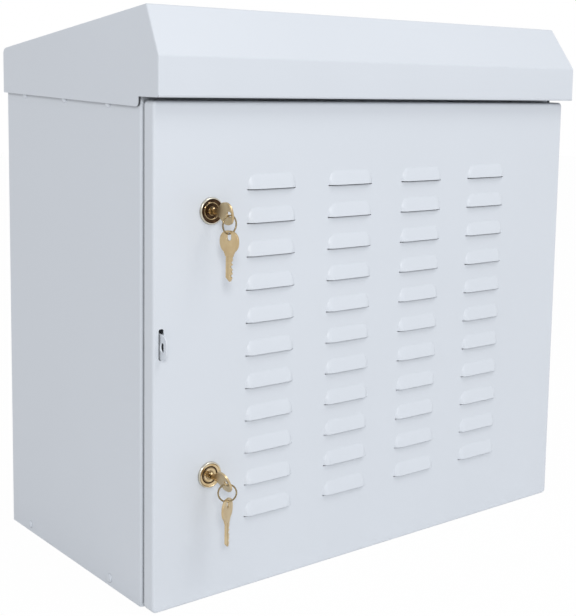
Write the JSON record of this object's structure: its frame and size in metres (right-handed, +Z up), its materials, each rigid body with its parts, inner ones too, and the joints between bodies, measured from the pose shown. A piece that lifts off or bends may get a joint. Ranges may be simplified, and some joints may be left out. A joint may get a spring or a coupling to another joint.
{
  "type": "outdoor equipment cabinet",
  "caption": "Folded steel roadside cabinet with an overhanging pitched roof, a louvred hinged door, cam locks with keys, a padlock staple, equipment rails and cable entries.",
  "frame": {"origin": "centre of the base, on the plane it stands on", "axes": "+Z up, the door faces -Y, +X to the right of someone facing the door"},
  "size_m": [0.608, 0.3831, 0.6127],
  "materials": {
    "paint": "light grey powder coat, fine satin texture",
    "zinc": "bright zinc plated steel",
    "rubber": "matt black rubber",
    "nickel": "polished nickel plate with a warm tint",
    "brass": "drawn brass, satin"
  },
  "bodies": {
    "cabinet": {"side_left": "paint", "side_right": "paint", "back_panel": "paint", "top_panel": "paint", "bottom_panel": "paint", "roof_cap": "paint", "roof_angles": "zinc", "roof_screws": "zinc", "roof_nuts": "zinc", "body_rivets": "paint", "padlock_staple": "paint", "door_gasket": "rubber", "hinge_arm_lower": "zinc", "hinge_arm_upper": "zinc", "rail_left": "zinc", "rail_right": "zinc", "rail_brackets": "zinc", "rail_bolts": "zinc", "rail_nuts": "zinc", "cable_plate": "paint", "cable_plate_screws": "zinc", "cable_grommets": "rubber", "earth_stud": "brass", "earth_nut": "brass"},
    "door": {"door_panel": "paint", "hinge_leaf_lower": "zinc", "hinge_leaf_upper": "zinc", "hinge_pin_lower": "zinc", "hinge_pin_upper": "zinc", "lock_housing_lower": "nickel", "lock_housing_upper": "nickel", "lock_nut_lower": "zinc", "lock_nut_upper": "zinc"},
    "lock_lower": {"lock_plug_lower": "brass", "lock_cam_lower": "zinc", "cam_screw_lower": "zinc", "lock_key_lower": "brass"},
    "ring_lower": {"key_ring_lower": "nickel"},
    "spare_lower": {"spare_key_lower": "brass"},
    "lock_upper": {"lock_plug_upper": "brass", "lock_cam_upper": "zinc", "cam_screw_upper": "zinc", "lock_key_upper": "brass"},
    "ring_upper": {"key_ring_upper": "nickel"},
    "spare_upper": {"spare_key_upper": "brass"}
  },
  "joints": [
    {"name": "door_swing", "type": "hinge", "parent": "cabinet", "child": "door", "pos_m": [0.291, -0.1705, 0], "axis": [0, 0, 1], "range_deg": [0, 110]},
    {"name": "lock_lower_turn", "type": "hinge", "parent": "door", "child": "lock_lower", "pos_m": [-0.2335, -0.1785, 0.1345], "axis": [0, 1, 0], "range_deg": [0, 90]},
    {"name": "ring_lower_swing", "type": "hinge", "parent": "lock_lower", "child": "ring_lower", "pos_m": [-0.23303, -0.2114, 0.13334], "axis": [0.8387, -0.5446, 0], "range_deg": [-60, 10]},
    {"name": "spare_lower_swing", "type": "hinge", "parent": "ring_lower", "child": "spare_lower", "pos_m": [-0.23303, -0.2114, 0.11484], "axis": [0.8387, -0.5446, 0], "range_deg": [-40, 10]},
    {"name": "lock_upper_turn", "type": "hinge", "parent": "door", "child": "lock_upper", "pos_m": [-0.2335, -0.1785, 0.4095], "axis": [0, 1, 0], "range_deg": [0, 90]},
    {"name": "ring_upper_swing", "type": "hinge", "parent": "lock_upper", "child": "ring_upper", "pos_m": [-0.23333, -0.2114, 0.40826], "axis": [0.9816, 0.1908, 0], "range_deg": [-60, 10]},
    {"name": "spare_upper_swing", "type": "hinge", "parent": "ring_upper", "child": "spare_upper", "pos_m": [-0.23333, -0.2114, 0.38976], "axis": [0.9816, 0.1908, 0], "range_deg": [-40, 10]}
  ]
}
